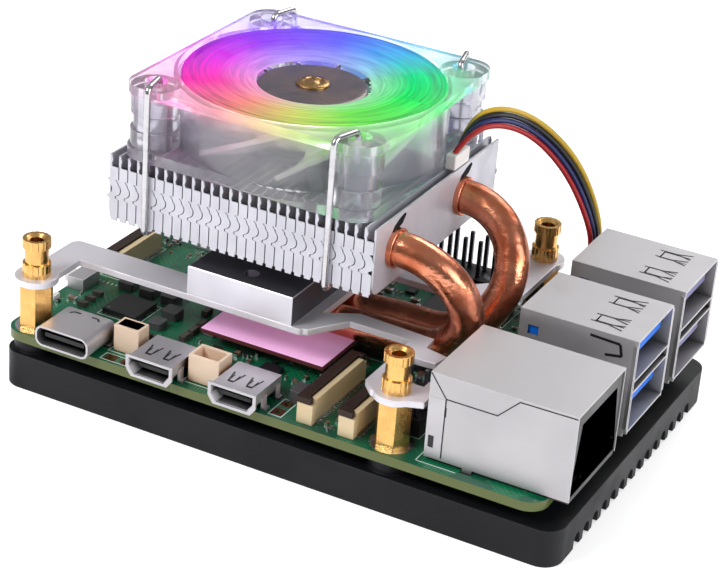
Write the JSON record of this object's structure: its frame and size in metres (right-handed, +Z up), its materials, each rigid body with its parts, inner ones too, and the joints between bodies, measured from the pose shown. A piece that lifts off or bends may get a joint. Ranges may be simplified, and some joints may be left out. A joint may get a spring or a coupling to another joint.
{
  "type": "single board computer",
  "caption": "Credit-card size computer board on a finned base plate, with a heat pipe tower cooler and a lit fan on top.",
  "frame": {"origin": "on the middle rib of the base plate's underside, at the centre of the plate", "axes": "+X from the power inlet end to the network jack end, +Y from the front edge with the power inlet and video ports to the pin header edge, +Z up"},
  "size_m": [0.0888, 0.0578, 0.0478],
  "materials": {
    "black_anodised": "satin",
    "board_green": "satin",
    "black_epoxy": "satin",
    "nickel_lid": "satin",
    "nickel_sheet": "satin",
    "screw_steel": "satin",
    "fast_blue": "satin",
    "slow_grey": "satin",
    "port_black": "satin",
    "contact_gold": "polished",
    "cream_nylon": "satin",
    "tan_nylon": "satin",
    "latch_brown": "satin",
    "header_black": "satin",
    "pin_pewter": "satin",
    "satin_aluminium": "satin",
    "thermal_pink": "matte",
    "polished_copper": "polished",
    "gold_brass": "polished",
    "frosted_clear": "satin",
    "glow_rotor": "translucent",
    "bearing_bronze": "satin",
    "steel_wire": "polished",
    "winding_copper": "satin",
    "magnet_dark": "matte",
    "white_nylon": "satin",
    "wire_red": "satin",
    "wire_blue": "satin",
    "wire_black": "satin",
    "wire_yellow": "satin",
    "tan_ceramic": "satin",
    "coil_grey": "satin"
  },
  "bodies": {
    "computer": {"base_heatsink": "black_anodised", "base_screws": "screw_steel", "circuit_board": "board_green", "processor": "nickel_lid", "thermal_pad": "thermal_pink", "memory_chip": "black_epoxy", "io_controller": "black_epoxy", "power_chip": "black_epoxy", "network_chip": "black_epoxy", "radio_module": "nickel_lid", "inductors": "coil_grey", "chip_capacitors": "tan_ceramic", "crystal_cans": "nickel_lid", "status_led": "white_nylon", "power_inlet_shell": "nickel_sheet", "power_inlet_tongue": "port_black", "video_port_shells": "nickel_sheet", "video_port_tongues": "port_black", "network_jack_shell": "nickel_sheet", "network_jack_body": "port_black", "network_contacts": "contact_gold", "host_port_shells": "nickel_sheet", "host_port_fast_insert": "fast_blue", "host_port_slow_insert": "slow_grey", "battery_socket": "cream_nylon", "debug_socket": "cream_nylon", "fan_socket": "cream_nylon", "camera_sockets": "tan_nylon", "expansion_socket": "tan_nylon", "header_strips": "header_black", "header_pins": "pin_pewter", "card_socket": "nickel_sheet", "power_button_body": "nickel_sheet", "mounting_bracket": "satin_aluminium", "spreader_block": "satin_aluminium", "standoffs": "gold_brass", "thumb_nuts": "gold_brass", "heat_pipe_front": "polished_copper", "heat_pipe_rear": "polished_copper", "cooling_fins": "satin_aluminium", "fan_frame": "frosted_clear", "fan_bearing": "bearing_bronze", "fan_board": "board_green", "stator_core": "magnet_dark", "stator_windings": "winding_copper", "fan_clips": "steel_wire", "lead_grommet": "white_nylon", "fan_plug": "white_nylon", "fan_wire_red": "wire_red", "fan_wire_blue": "wire_blue", "fan_wire_black": "wire_black", "fan_wire_yellow": "wire_yellow"},
    "rotor": {"fan_rotor": "glow_rotor", "rotor_magnet": "magnet_dark", "rotor_bushing": "bearing_bronze", "rotor_shaft": "screw_steel"},
    "power_button": {"power_button_cap": "white_nylon"},
    "left_camera_latch": {"camera_latch_left": "latch_brown"},
    "right_camera_latch": {"camera_latch_right": "latch_brown"},
    "expansion_latch_bar": {"expansion_latch": "latch_brown"}
  },
  "joints": [
    {"name": "fan_spin", "type": "hinge", "parent": "computer", "child": "rotor", "pos_m": [-0.0115, 0.0013, 0.0418], "axis": [0, 0, 1], "continuous": true},
    {"name": "power_press", "type": "slide", "parent": "computer", "child": "power_button", "axis": [1, 0, 0], "range_m": [0, 0.00025], "stiffness_N_per_m": 6400},
    {"name": "left_camera_latch_lift", "type": "slide", "parent": "computer", "child": "left_camera_latch", "axis": [0, 0, 1], "range_m": [0, 0.001]},
    {"name": "right_camera_latch_lift", "type": "slide", "parent": "computer", "child": "right_camera_latch", "axis": [0, 0, 1], "range_m": [0, 0.001]},
    {"name": "expansion_latch_lift", "type": "slide", "parent": "computer", "child": "expansion_latch_bar", "axis": [0, 0, 1], "range_m": [0, 0.001]}
  ]
}
